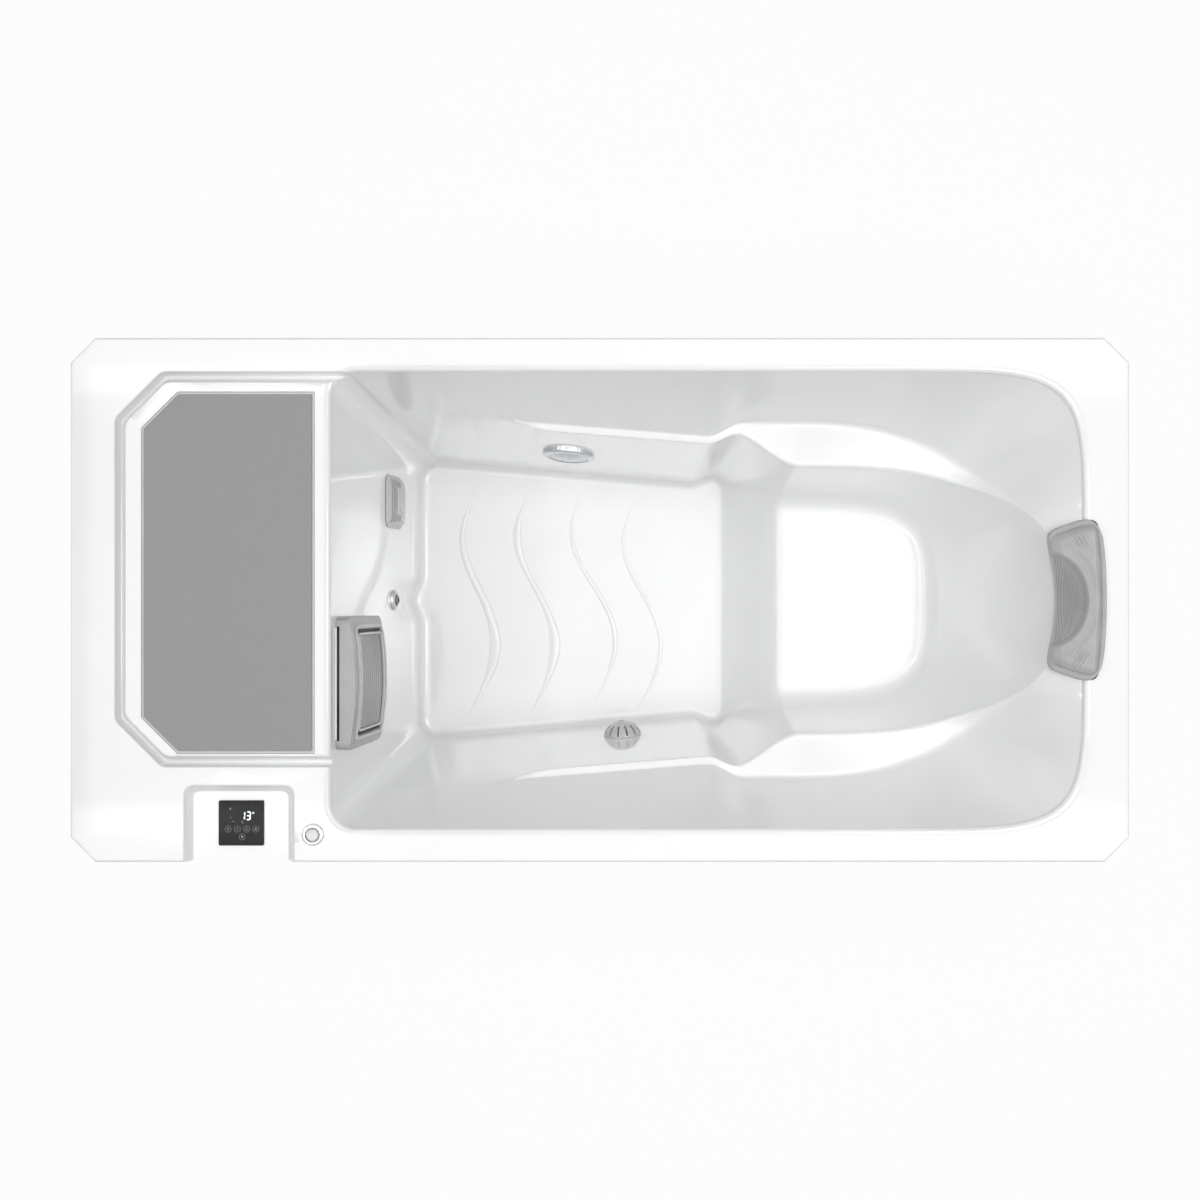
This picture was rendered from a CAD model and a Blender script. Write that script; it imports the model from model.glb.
import math
import bmesh
import bpy
from mathutils import Matrix, Vector


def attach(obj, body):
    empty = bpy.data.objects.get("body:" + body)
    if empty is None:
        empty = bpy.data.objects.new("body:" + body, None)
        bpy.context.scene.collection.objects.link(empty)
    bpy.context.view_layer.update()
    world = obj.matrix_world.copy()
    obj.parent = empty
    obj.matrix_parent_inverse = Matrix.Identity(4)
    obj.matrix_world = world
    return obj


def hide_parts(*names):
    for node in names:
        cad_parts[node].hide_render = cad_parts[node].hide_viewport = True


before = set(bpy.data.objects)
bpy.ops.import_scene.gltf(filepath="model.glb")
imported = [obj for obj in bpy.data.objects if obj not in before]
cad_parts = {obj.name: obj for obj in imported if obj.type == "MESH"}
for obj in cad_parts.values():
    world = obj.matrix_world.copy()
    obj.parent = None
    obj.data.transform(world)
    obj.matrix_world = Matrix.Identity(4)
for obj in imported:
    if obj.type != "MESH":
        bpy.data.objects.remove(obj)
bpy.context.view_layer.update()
scene = bpy.context.scene

# The camera looks straight down on the tub from 2.3 m above its rim, as the photograph does, and
# takes in 2.4 m at the height of the rim.
camera_data = bpy.data.cameras.new("camera")
camera_data.sensor_width = 36.0
camera_data.lens = 18.0 / math.tan(math.radians(55.1) / 2)
camera = bpy.data.objects.new("camera", camera_data)
scene.collection.objects.link(camera)
camera.location = (0.0, 0.0, 3.1)
scene.camera = camera
scene.view_settings.view_transform = "Standard"

# The studio: a soft sky, a large softbox over the tub, one over the seat that shows as a bright field
# there, and strips round the tub that draw the streaks along its walls and the lines in its creases.
def seen_rays(tree):
    """One for the rays that show a background: from the camera, off metal and through glass."""
    path = tree.nodes.new("ShaderNodeLightPath")
    seen = path.outputs["Is Camera Ray"]
    for kind in ("Is Glossy Ray", "Is Transmission Ray"):
        either = tree.nodes.new("ShaderNodeMath")
        either.operation = "MAXIMUM"
        tree.links.new(seen, either.inputs[0])
        tree.links.new(path.outputs[kind], either.inputs[1])
        seen = either.outputs[0]
    return seen


world = bpy.data.worlds.new("studio")
scene.world = world
world.use_nodes = True
sky = world.node_tree
sky.nodes.clear()
lit = sky.nodes.new("ShaderNodeBackground")
lit.inputs["Color"].default_value = (0.98, 0.99, 1.0, 1)
lit.inputs["Strength"].default_value = 0.22
backdrop = sky.nodes.new("ShaderNodeBackground")
backdrop.inputs["Color"].default_value = (1, 1, 1, 1)
choice = sky.nodes.new("ShaderNodeMixShader")
sky_out = sky.nodes.new("ShaderNodeOutputWorld")
sky.links.new(seen_rays(sky), choice.inputs[0])
sky.links.new(lit.outputs[0], choice.inputs[1])
sky.links.new(backdrop.outputs[0], choice.inputs[2])
sky.links.new(choice.outputs[0], sky_out.inputs[0])


def softbox(name, place, aim, width, height, power):
    data = bpy.data.lights.new(name, "AREA")
    data.shape = "RECTANGLE"
    data.size = width
    data.size_y = height
    data.energy = power
    lamp = bpy.data.objects.new(name, data)
    scene.collection.objects.link(lamp)
    lamp.location = place
    lamp.rotation_euler = (Vector(aim) - Vector(place)).to_track_quat("-Z", "Y").to_euler()


ceiling, under_ceiling, round_tub = 3.9, 3.88, 2.9
softbox("top_light", (0.0, 0.0, ceiling), (0.0, 0.0, 0.0), 5.4, 3.0, 17)
softbox("seat_light", (1.24, 0.0, 3.3), (1.0, 0.0, 0.4), 0.70, 0.94, 4.5)
for x, wide, long, power in ((-1.75, 1.3, 2.2, 13), (0.33, 1.26, 1.6, 4.5), (1.45, 0.3, 1.1, 8),
                             (1.76, 0.1, 1.1, 4), (2.4, 0.5, 2.4, 4)):
    softbox("cross_strip", (x, 0.0, under_ceiling), (x, 0.0, 0.0), wide, long, power)
for far in (-1, 1):
    softbox("long_strip", (0.0, far * 1.22, under_ceiling), (0.0, far * 0.6, 0.0), 5.0, 0.5, 15)
    softbox("side_strip", (0.1, far * 1.5, round_tub), (0.1, 0.0, 0.4), 2.4, 0.2, 3)
    softbox("end_strip", (far * 2.7, 0.0, round_tub), (0.0, 0.0, 0.3), 1.5, 0.2, 5)


def shader(name, colour, roughness, metallic=0.0):
    """A new material with its colour, roughness and metal set on the shader's own sockets."""
    material = bpy.data.materials.new(name)
    material.use_nodes = True
    surface = material.node_tree.nodes["Principled BSDF"]
    surface.inputs["Base Color"].default_value = (*colour, 1)
    surface.inputs["Roughness"].default_value = roughness
    surface.inputs["Metallic"].default_value = metallic
    return material


# The studio floor is white paper. The camera sees it nearly white round the tub, and in the tub's own
# shadow under it.
paper = shader("studio_floor", (0.95, 0.95, 0.95), 0.9)
tree = paper.node_tree
glow = tree.nodes.new("ShaderNodeEmission")
glow.inputs["Color"].default_value = (1, 1, 1, 1)
floor_mix = tree.nodes.new("ShaderNodeMixShader")
share = tree.nodes.new("ShaderNodeMath")
share.operation = "MULTIPLY"
tree.links.new(seen_rays(tree), share.inputs[0])
floor_place = tree.nodes.new("ShaderNodeTexCoord")
folded = tree.nodes.new("ShaderNodeVectorMath")
folded.operation = "ABSOLUTE"
past_edge = tree.nodes.new("ShaderNodeVectorMath")
past_edge.operation = "SUBTRACT"
tub_footprint = (1.05, 0.515, 0.0)
past_edge.inputs[1].default_value = tub_footprint
sides = tree.nodes.new("ShaderNodeSeparateXYZ")
farther = tree.nodes.new("ShaderNodeMath")
farther.operation = "MAXIMUM"
outside = tree.nodes.new("ShaderNodeMapRange")
outside.inputs["From Min"].default_value = -0.03
outside.inputs["From Max"].default_value = 0.0
outside.inputs["To Max"].default_value = 0.95
tree.links.new(floor_place.outputs["Object"], folded.inputs[0])
tree.links.new(folded.outputs[0], past_edge.inputs[0])
tree.links.new(past_edge.outputs[0], sides.inputs[0])
tree.links.new(sides.outputs["X"], farther.inputs[0])
tree.links.new(sides.outputs["Y"], farther.inputs[1])
tree.links.new(farther.outputs[0], outside.inputs["Value"])
tree.links.new(outside.outputs[0], share.inputs[1])
tree.links.new(share.outputs[0], floor_mix.inputs[0])
tree.links.new(tree.nodes["Principled BSDF"].outputs[0], floor_mix.inputs[1])
tree.links.new(glow.outputs[0], floor_mix.inputs[2])
tree.links.new(floor_mix.outputs[0], tree.nodes["Material Output"].inputs["Surface"])
bpy.ops.mesh.primitive_plane_add(size=40, location=(0, 0, -0.001))
studio_floor = bpy.context.object
studio_floor.name = "studio_floor"
studio_floor.data.materials.append(paper)

# The moulded tub is one sheet of white acrylic, vacuum-formed into rim, arm rests, seat, back rest and
# foot well and 6 mm thick. Its well is a loft of curves, joined to a flat deck with a turned-down lip.
HALF_L, HALF_W, WELL_HW = 1060, 525, 457
HEAD, FOOT, TURN = 969, -541, 440
FLOOR_Z, SEAT_Z, LEDGE_Z = 120, 320, 550
SKIN, EDGE, RISER = 6, 12, 136
LEAN = math.atan(79 / 680)
CHAMFER = 2 - math.sqrt(2)


def mix(a, b, t):
    return a + (b - a) * t


def smooth(t):
    t = max(0.0, min(1.0, t))
    return t * t * (3 - 2 * t)


def foot_x(z):
    return FOOT + 79 * (800 - z) / 680


def rim_hw(x):
    return WELL_HW


def ledge_hw(x):
    return mix(WELL_HW - 92 + 0.08 * (TURN - 219 - x), WELL_HW - 61, smooth((x - TURN + 205) / 85))


def inner_hw(x):
    return ledge_hw(x) - 1 - 17 * smooth((x - TURN + 685) / 155) - 86 * smooth((x - TURN + 172) / 182)


def up_riser(x):
    """From 0 in the foot well to 1 on the seat."""
    return smooth((x - TURN + RISER) / RISER)


def foot_hw(x):
    wall = WELL_HW - 93 - 0.085 * (x - FOOT) + 22 * smooth(1 - abs(x - TURN + 150) / 60)
    return mix(wall, 243, up_riser(x))


def sheet_z(x):
    return mix(FLOOR_Z, SEAT_Z, up_riser(x))


# A station is a pair: where it stands on the head's curve, the side, the foot corner or the foot wall.
stations = [("head", a * 2.5) for a in range(37)]
stations += [("side", TURN - 210 * i / 30) for i in range(1, 31)]
stations += [("side", TURN - 210 - 630 * i / 24) for i in range(1, 25)]
stations += [("corner", 90 + 90 * i / 12) for i in range(13)]
stations += [("end", 1 - i / 24) for i in range(1, 25)]


def plan(station, reach, power, half, end_x):
    """A point of a curve round the well, and the way out from it."""
    kind, s = station
    if kind == "head":
        b = half(TURN)
        c, n = math.cos(math.radians(s)), math.sin(math.radians(s))
        k = 1 / ((c / reach) ** power + (n / b) ** power) ** (1 / power)
        out = Vector(((c * k / reach) ** (power - 1) / reach, (n * k / b) ** (power - 1) / b))
        return Vector((TURN + c * k, n * k)), out.normalized()
    if kind == "side":
        return Vector((s, half(s))), Vector((0, 1))
    x = end_x + 50
    y = half(x) - 50
    if kind == "corner":
        out = Vector((math.cos(math.radians(s)), math.sin(math.radians(s))))
        return Vector((x, y)) + out * 50, out
    return Vector((end_x, y * s)), Vector((-1, 0))


def arc(a, corner, b, steps):
    """A rounding from a to b round a corner, without its two ends."""
    return [a * (1 - i / steps) ** 2 + corner * (2 * i / steps * (1 - i / steps)) + b * (i / steps) ** 2
            for i in range(1, steps)]


def lift(p, z):
    return Vector((p.x, p.y, z))


def section(station):
    """The moulding's profile at a station, from the deck down to the middle of the seat or floor."""
    kind, s = station
    top = 800 - EDGE
    shelf = LEDGE_Z
    if kind == "head":
        shelf = mix(758, LEDGE_Z, smooth((s - 14) / 26))
    high = shelf + 2
    rim, rim_o = plan(station, 529, 7, rim_hw, foot_x(top))
    lo, lo_o = plan(station, 491, 2.25, ledge_hw, foot_x(high))
    li, li_o = plan(station, 485, 3.1, inner_hw, foot_x(shelf))
    w = (lo - li).length
    cut = min(14, 0.3 * w)
    low, drop = shelf - cut, top - high
    base, base_o = plan(station, 350, 3.8, foot_hw, foot_x(FLOOR_Z))
    z = sheet_z(base.x)
    r = 24
    if kind == "head":
        r = 46
        spine = TURN + 200 * (1 - s / 90)
    elif kind == "side":
        r = mix(24, 46, up_riser(s))
        spine = s
    elif kind == "corner":
        spine = -400 - 9 * (s - 90) / 90
    else:
        spine = -409 - 6 * (1 - s)
    t = 1 - r / (low - z)
    start, end = mix(li, base, t), base - base_o * r
    a, b = lift(rim + rim_o * EDGE, 800), lift(rim, top)
    rows = [lift(rim + rim_o * (EDGE + 6), 800), a, *arc(a, lift(rim, 800), b, 8), b]
    c, d = lift(mix(rim, lo, 1 - cut / drop), high + cut), lift(lo - lo_o * cut, high)
    rows += [mix(b, c, i / 6) for i in range(1, 6)]
    rows += [c, *arc(c, lift(lo, high), d, 7), d]
    e, f = lift(li + li_o * cut, shelf), lift(li, low)
    rows += [mix(d, e, 0.5), e, *arc(e, lift(li, shelf), f, 7)]
    first = len(rows) - 21
    for k in range(21):
        rows[first + k] = mix(mix(b, f, (k + 1) / 22), rows[first + k], smooth((w - 1) / 6))
    rows.append(f)
    g, h = lift(start, mix(low, z, t)), lift(end, sheet_z(end.x))
    rows += [mix(f, g, i / 8) for i in range(1, 8)]
    rows += [g, *arc(g, lift(base, z), h, 9), h]
    for i in range(1, 8):
        p = mix(h, Vector((spine, 0, 0)), i / 8)
        rows.append(lift(p, sheet_z(p.x)))
    for p in rows:
        p.x -= 20 * smooth(1 - abs(p.y) / 64) * smooth((350 - p.z) / 150) * smooth((-405 - p.x) / 40)
    return rows, Vector((spine, 0, sheet_z(spine)))


def rim_points(inset):
    a, b, c = HALF_L - inset, HALF_W - inset, 50 - inset * CHAMFER
    return [(a, b - c), (a - c, b), (c - a, b), (-a, b - c), (-a, c - b), (c - a, -b), (a - c, -b),
            (a, c - b)]


half_ring = [section(s) for s in stations]
ring = half_ring + [([Vector((p.x, -p.y, p.z)) for p in rows], spine)
                    for rows, spine in reversed(half_ring[1:-1])]
count = len(ring)
sheet = bmesh.new()
loops = [[sheet.verts.new(p / 1000) for p in row] for row in zip(*[rows for rows, spine in ring])]
middle = {}
for i, (rows, spine) in enumerate(ring):
    middle[i] = middle.get(count - i) or sheet.verts.new(spine / 1000)
for upper, lower in zip(loops, loops[1:]):
    for i in range(count):
        j = (i + 1) % count
        sheet.faces.new((upper[i], upper[j], lower[j], lower[i]))
for i in range(count):
    j = (i + 1) % count
    corners = [loops[-1][i], loops[-1][j], middle[j], middle[i]]
    sheet.faces.new([v for k, v in enumerate(corners) if v not in corners[:k]])
lip = []
lip_r = 5
for inset, z in [(0, 754), (0, 800 - lip_r)] + [
        (lip_r - lip_r * math.cos(a * math.pi / 10), 800 - lip_r + lip_r * math.sin(a * math.pi / 10))
        for a in range(1, 6)]:
    lip.append([sheet.verts.new((x / 1000, y / 1000, z / 1000)) for x, y in rim_points(inset)])
for low_loop, high_loop in zip(lip, lip[1:]):
    for i in range(8):
        j = (i + 1) % 8
        sheet.faces.new((low_loop[i], high_loop[i], high_loop[j], low_loop[j]))
edges = [e for e in sheet.edges if e.is_boundary and all(abs(v.co.z - 0.8) < 1e-6 for v in e.verts)]
bmesh.ops.triangle_fill(sheet, edges=edges, use_beauty=True, normal=(0, 0, 1))
bmesh.ops.recalc_face_normals(sheet, faces=sheet.faces)


def place_mesh(name, shape):
    data = bpy.data.meshes.new(name)
    shape.to_mesh(data)
    shape.free()
    obj = bpy.data.objects.new(name, data)
    scene.collection.objects.link(obj)
    return obj


def only(obj):
    bpy.ops.object.select_all(action="DESELECT")
    obj.select_set(True)
    bpy.context.view_layer.objects.active = obj


def apply_modifiers(obj):
    only(obj)
    for modifier in list(obj.modifiers):
        bpy.ops.object.modifier_apply(modifier=modifier.name)


tub_shell = place_mesh("tub_shell", sheet)
if sum(p.normal.z * p.area for p in tub_shell.data.polygons) < 0:
    tub_shell.data.flip_normals()
thick = tub_shell.modifiers.new("skin", "SOLIDIFY")
thick.thickness = SKIN / 1000
thick.offset = -1
apply_modifiers(tub_shell)


def loft(name, rings, ends=True):
    """A closed solid through rings of points, in millimetres, with ends or joined round."""
    shape = bmesh.new()
    made = [[shape.verts.new(Vector(p) / 1000) for p in points] for points in rings]
    n = len(made[0])
    for a, b in zip(made, made[1:] if ends else made[1:] + made[:1]):
        for i in range(n if ends else n - 1):
            shape.faces.new((a[i], a[(i + 1) % n], b[(i + 1) % n], b[i]))
    if ends:
        shape.faces.new(made[0])
        shape.faces.new(made[-1])
    else:
        shape.faces.new([row[0] for row in made])
        shape.faces.new([row[-1] for row in made])
    bmesh.ops.recalc_face_normals(shape, faces=shape.faces)
    return place_mesh(name, shape)


def combine(target, tool, operation):
    boolean = target.modifiers.new("shape", "BOOLEAN")
    boolean.operation = operation
    boolean.solver = "MANIFOLD"
    boolean.object = tool
    apply_modifiers(target)
    bpy.data.objects.remove(tool)


def rounded_line(points, radius):
    """A plan line whose inner corners are rounded."""
    out = [Vector(points[0])]
    for before, here, after in zip(points, points[1:], points[2:]):
        before, here, after = Vector(before), Vector(here), Vector(after)
        cut = radius * math.tan(0.5 * (after - here).angle(here - before))
        a = here + (before - here).normalized() * cut
        b = here + (after - here).normalized() * cut
        out += [a, *arc(a, here, b, 6), b]
    return out + [Vector(points[-1])]


GUTTER_X, GUTTER_Y0, GUTTER_Y1, GUTTER_CUT = -972, -335, 458, 94


def gutter_line(d, end, z):
    """The gutter's line round the platform, a distance in from its outer edge."""
    x, y0, y1, c = GUTTER_X + d, GUTTER_Y0 + d, GUTTER_Y1 - d, GUTTER_CUT - d * CHAMFER
    corners = [(end, y0), (x + c, y0), (x, y0 + c), (x, y1 - c), (x + c, y1), (end, y1)]
    return [lift(p, z) for p in rounded_line(corners, 20 + d * 0.4)]


def well_plug(skin):
    """The well's upper part, a little larger, so that what it trims ends inside the skin."""
    plug = []
    for k, z in [(9, 700), (9, 787)] + [(k, None) for k in range(8, 0, -1)] + [(1, 820)]:
        points = []
        for rows, spine in ring:
            p = rows[k]
            out = Vector((p.x - 200, p.y)).normalized() * skin
            points.append(Vector((p.x + out.x, p.y + out.y, p.z if z is None else z)))
        plug.append(points)
    return loft("plug", plug)


pan = loft("pan", [gutter_line(d, -470, z) for d, z in
                   [(-5, 797), (-5, 784), (3, 776), (16, 776), (28, 784), (28, 797)]], ends=False)
combine(pan, well_plug(0.8), "DIFFERENCE")
combine(tub_shell, pan, "UNION")


def lid_ring(grow, z):
    x0, x1, y0, y1, c = -917 - grow, -571 + grow, -307 - grow, 416 + grow, 72 + grow * CHAMFER
    return [(x1, y0, z), (x1, y1, z), (x0 + c, y1, z), (x0, y1 - c, z), (x0, y0 + c, z), (x0 + c, y0, z)]


combine(tub_shell, loft("seat", [lid_ring(10, 778), lid_ring(10, 797)]), "UNION")
trough = [(-0.6, 800.05), (0.8, 799.2), (1.8, 797.4), (6.2, 785.0), (7.4, 782.6), (9.4, 781.4), (11.4, 782.4),
          (12.8, 784.6), (19.8, 796.6), (21.2, 798.5), (22.8, 799.7), (24.0, 800.05), (24.0, 806), (-0.6, 806)]
combine(tub_shell, loft("trough", [gutter_line(d, -500, z) for d, z in trough], ends=False), "DIFFERENCE")


def recess_ring(u, grow=0, front=-540, top=None):
    """The control recess's outline on its sloping wall, from its floor (0) to the deck (1)."""
    x0, x1, y = mix(-820, -835, u) - grow, mix(-630, -610, u) + grow, mix(-387, -369, u) + grow
    z = 776 + 24 * smooth(u) + (0.06 if u >= 1 else 0) - grow
    corners = [(x1, front), (x1, y), (x0, y), (x0, front)]
    return [lift(p, top or z) for p in rounded_line(corners, 16 + 6 * u)]


combine(tub_shell, loft("pan", [recess_ring(0, 6, -524.6), recess_ring(1, 6, -524.6, 797)]), "UNION")
recess = [recess_ring(i / 10) for i in range(11)] + [recess_ring(1, 0, -540, 806)]
combine(tub_shell, loft("hollow", recess), "DIFFERENCE")
opening = [lid_ring(-14, 740), lid_ring(-14, 788), lid_ring(0.9, 788), lid_ring(0.9, 806)]
combine(tub_shell, loft("opening", opening), "DIFFERENCE")

# The four wavy anti-slip ribs of the foot well are pressed into the same sheet. The two nearest the
# foot wall swell at their bends, and all four run out to a point.
rib_section = (-1, -0.95, -0.85, -0.7, -0.5, -0.3, -0.1, 0.1, 0.3, 0.5, 0.7, 0.85, 0.95, 1)
for x0, x1, y0, y1, top, mid, low, rise in [
        (-315, -341, 289, -299, 22, 22, 36, 0.55), (-180, -178, 285, -290, 32, 15, 36, 0.50),
        (-45, -12, 279, -263, 14, 13, 17, 0.46), (95, 97, 263, -284, 13, 12, 14, 0.42)]:
    rings = []
    for i in range(73):
        t, a = i / 72, math.radians(2.5 * i)
        wave = 24 * math.sin(a) - 46 * math.sin(2 * a) - 6 * math.sin(3 * a)
        slope = math.pi * (24 * math.cos(a) - 92 * math.cos(2 * a) - 18 * math.cos(3 * a))
        p = Vector((mix(x0, x1, t) + wave, mix(y0, y1, t), 0))
        run = Vector((x1 - x0 + slope, y1 - y0, 0))
        wide = (mid + (top - mid) * math.exp(-((t - 0.19) / 0.12) ** 2)
                + (low - mid) * math.exp(-((t - 0.74) / 0.13) ** 2))
        reach = max(1.0, wide / 2 * math.sin(a) ** 0.75)
        side = run.normalized().cross(Vector((0, 0, 1))) * reach
        tall = 0.3 + rise * min(reach, 13)
        lean = -0.45 * smooth((wide - mid) / 14)
        crest = [(s + lean * (1 - s * s), (1 - s * s) ** 0.9) for s in rib_section]
        rings.append([p + side * u + Vector((0, 0, FLOOR_Z - 0.2 + (tall + 0.2) * v)) for u, v in crest]
                     + [p + side * u + Vector((0, 0, FLOOR_Z - 3)) for u in (1, -1)])
    combine(tub_shell, loft("rib", rings), "UNION")


def wall_frame(p, n, down):
    """A fitting's own frame: x down the wall, y across it, z into the well."""
    return Matrix.Translation(Vector(p) / 1000) @ Matrix((down, n.cross(down), n)).transposed().to_4x4()


def foot_frame(y, z):
    n = Vector((math.cos(LEAN), 0, math.sin(LEAN)))
    return wall_frame((foot_x(z), y, z), n, Vector((math.sin(LEAN), 0, -math.cos(LEAN))))


def side_wall_y(x, z):
    return mix(inner_hw(x), foot_hw(x), (LEDGE_Z - 7 - z) / (LEDGE_Z - 7 - FLOOR_Z))


def side_frame(x, z, side):
    n = Vector((side_wall_y(x + 40, z) - side_wall_y(x - 40, z), -80 * side,
                side_wall_y(x, z + 40) - side_wall_y(x, z - 40))).normalized()
    flat = math.hypot(n.x, n.y)
    down = Vector((n.x * n.z / flat, n.y * n.z / flat, -flat))
    return wall_frame((x, side * side_wall_y(x, z), z), n, down)


def drill(place, size, low=-40, high=40):
    """A cut through the sheet: round for one size, else a rectangle with cut corners."""
    if isinstance(size, tuple):
        x0, x1, half_y, cut = size
        points = [(x0 + cut, -half_y), (x1 - cut, -half_y), (x1, cut - half_y), (x1, half_y - cut),
                  (x1 - cut, half_y), (x0 + cut, half_y), (x0, half_y - cut), (x0, cut - half_y)]
    else:
        points = [(size * math.cos(math.pi * i / 36), size * math.sin(math.pi * i / 36)) for i in range(72)]
    tool = loft("drill", [[(x, y, z) for x, y in points] for z in (low, high)])
    tool.data.transform(place)
    combine(tub_shell, tool, "DIFFERENCE")


SKIMMER, SUCTION, NOZZLE = foot_frame(-170, 660), foot_frame(232, 370), foot_frame(0, 370)
LIGHT, DOME = side_frame(-75, 350, 1), side_frame(55, 280, -1)
BUTTON = Matrix.Translation((-0.574, -0.469, 0.8))
GLASS = Matrix.Translation((-0.724, -0.450, 0.776))
drill(SKIMMER, (-106, 43, 116, 2))
drill(SUCTION, 30.8)
drill(SUCTION, (-61.5, 61.5, 61.5, 13), -1.2, 30)
drill(NOZZLE, 18.8)
drill(LIGHT, 48.8)
drill(LIGHT, 61.4, -1.2, 30)
drill(DOME, 28.8)
drill(DOME, 45.4, -1.2, 30)
drill(BUTTON, 16)
drill(GLASS, (-40.5, 40.5, 40.5, 2))
for pin_y in (-90, 90):
    drill(Matrix.Translation((0.990, pin_y / 1000, 0.8)), 4.5)


def noise(material, scale, detail=2.0, stretch=(1, 1, 1)):
    """A noise pattern in the tub's own coordinates, in cells per metre."""
    tree = material.node_tree
    place = tree.nodes.new("ShaderNodeTexCoord")
    mapping = tree.nodes.new("ShaderNodeMapping")
    mapping.inputs["Scale"].default_value = stretch
    texture = tree.nodes.new("ShaderNodeTexNoise")
    texture.inputs["Scale"].default_value = scale
    texture.inputs["Detail"].default_value = detail
    tree.links.new(place.outputs["Object"], mapping.inputs["Vector"])
    tree.links.new(mapping.outputs["Vector"], texture.inputs["Vector"])
    return texture.outputs["Fac"]


def bump(material, height, distance, strength=1.0):
    tree = material.node_tree
    node = tree.nodes.new("ShaderNodeBump")
    node.inputs["Distance"].default_value = distance / 1000
    node.inputs["Strength"].default_value = strength
    tree.links.new(height, node.inputs["Height"])
    surface = tree.nodes["Principled BSDF"]
    if surface.inputs["Normal"].is_linked:
        tree.links.new(surface.inputs["Normal"].links[0].from_socket, node.inputs["Normal"])
    tree.links.new(node.outputs["Normal"], surface.inputs["Normal"])


def tint(material, factor, dark, light, low=0.35, high=0.65):
    """Base colour between two colours, led by a pattern."""
    tree = material.node_tree
    ramp = tree.nodes.new("ShaderNodeValToRGB")
    ramp.color_ramp.elements[0].position = low
    ramp.color_ramp.elements[0].color = (*dark, 1)
    ramp.color_ramp.elements[1].position = high
    ramp.color_ramp.elements[1].color = (*light, 1)
    tree.links.new(factor, ramp.inputs["Fac"])
    tree.links.new(ramp.outputs["Color"], tree.nodes["Principled BSDF"].inputs["Base Color"])


def polish(material, factor, low, high):
    """Roughness between two values, led by a pattern."""
    tree = material.node_tree
    span = tree.nodes.new("ShaderNodeMapRange")
    span.inputs["From Min"].default_value = 0.35
    span.inputs["From Max"].default_value = 0.65
    span.inputs["To Min"].default_value = low
    span.inputs["To Max"].default_value = high
    tree.links.new(factor, span.inputs["Value"])
    tree.links.new(span.outputs[0], tree.nodes["Principled BSDF"].inputs["Roughness"])


acrylic = shader("white_acrylic", (0.93, 0.933, 0.936), 0.14)
acrylic_surface = acrylic.node_tree.nodes["Principled BSDF"]
acrylic_surface.inputs["Coat Weight"].default_value = 1.0
acrylic_surface.inputs["Coat Roughness"].default_value = 0.05
tint(acrylic, noise(acrylic, 3, 3.0), (0.915, 0.918, 0.921), (0.935, 0.938, 0.941))
polish(acrylic, noise(acrylic, 6, 3.0), 0.12, 0.17)
bump(acrylic, noise(acrylic, 40, 1.0), 0.3, 0.25)


def shade_by(material, attribute, share):
    """Darkens a material where the piece's own attribute says so."""
    tree = material.node_tree
    where = tree.nodes.new("ShaderNodeAttribute")
    where.attribute_name = attribute
    darker = tree.nodes.new("ShaderNodeMixRGB")
    darker.blend_type = "MULTIPLY"
    darker.inputs["Color2"].default_value = (share, share, share, 1)
    tree.links.new(where.outputs["Fac"], darker.inputs["Fac"])
    colour = tree.nodes["Principled BSDF"].inputs["Base Color"]
    tree.links.new(colour.links[0].from_socket, darker.inputs["Color1"])
    tree.links.new(darker.outputs["Color"], colour)


# The gutter round the lid's platform is pressed into the same sheet. It is left in a satin light grey,
# which the photograph shows as an even band.
shade_by(acrylic, "gutter", 0.85)
gutter = tub_shell.data.attributes.new("gutter", "FLOAT", "POINT")
for v in tub_shell.data.vertices:
    x, y, z = v.co * 1000
    side, low, high = x - GUTTER_X, y - GUTTER_Y0, GUTTER_Y1 - y
    inside = min(side, low, high, (side + low - GUTTER_CUT) / math.sqrt(2),
                 (side + high - GUTTER_CUT) / math.sqrt(2))
    gutter.data[v.index].value = 1.0 if -1 < inside < 25 and 781 < z < 799 and x < -540 else 0.0


def finish(obj, material, body="tub", node=None, angle=30):
    """Gives a piece its material, soft shading and its place in the model."""
    obj.data.materials.clear()
    obj.data.materials.append(material)
    only(obj)
    bpy.ops.object.shade_smooth_by_angle(angle=math.radians(angle))
    weighted = obj.modifiers.new("shading", "WEIGHTED_NORMAL")
    weighted.keep_sharp = True
    apply_modifiers(obj)
    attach(obj, body)
    if node:
        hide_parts(node)


finish(tub_shell, acrylic, node="shell")

# The skimmer's front is a pale moulding, bowed towards the water and screwed over the throat. Its face
# carries a raised rounded frame round the grille.
def refined(node, name, width, segments=3):
    """A copy of a CAD piece with its moulded or milled edges rounded."""
    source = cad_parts[node]
    obj = bpy.data.objects.new(name, source.data.copy())
    scene.collection.objects.link(obj)
    only(obj)
    bpy.ops.object.mode_set(mode="EDIT")
    bpy.ops.mesh.select_all(action="SELECT")
    bpy.ops.mesh.remove_doubles(threshold=0.00001)
    bpy.ops.mesh.dissolve_limited(angle_limit=math.radians(1.5))
    bpy.ops.mesh.normals_make_consistent(inside=False)
    bpy.ops.object.mode_set(mode="OBJECT")
    rounding = obj.modifiers.new("rounding", "BEVEL")
    rounding.width = width / 1000
    rounding.segments = segments
    rounding.limit_method = "ANGLE"
    rounding.angle_limit = math.radians(40)
    apply_modifiers(obj)
    return obj


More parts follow.
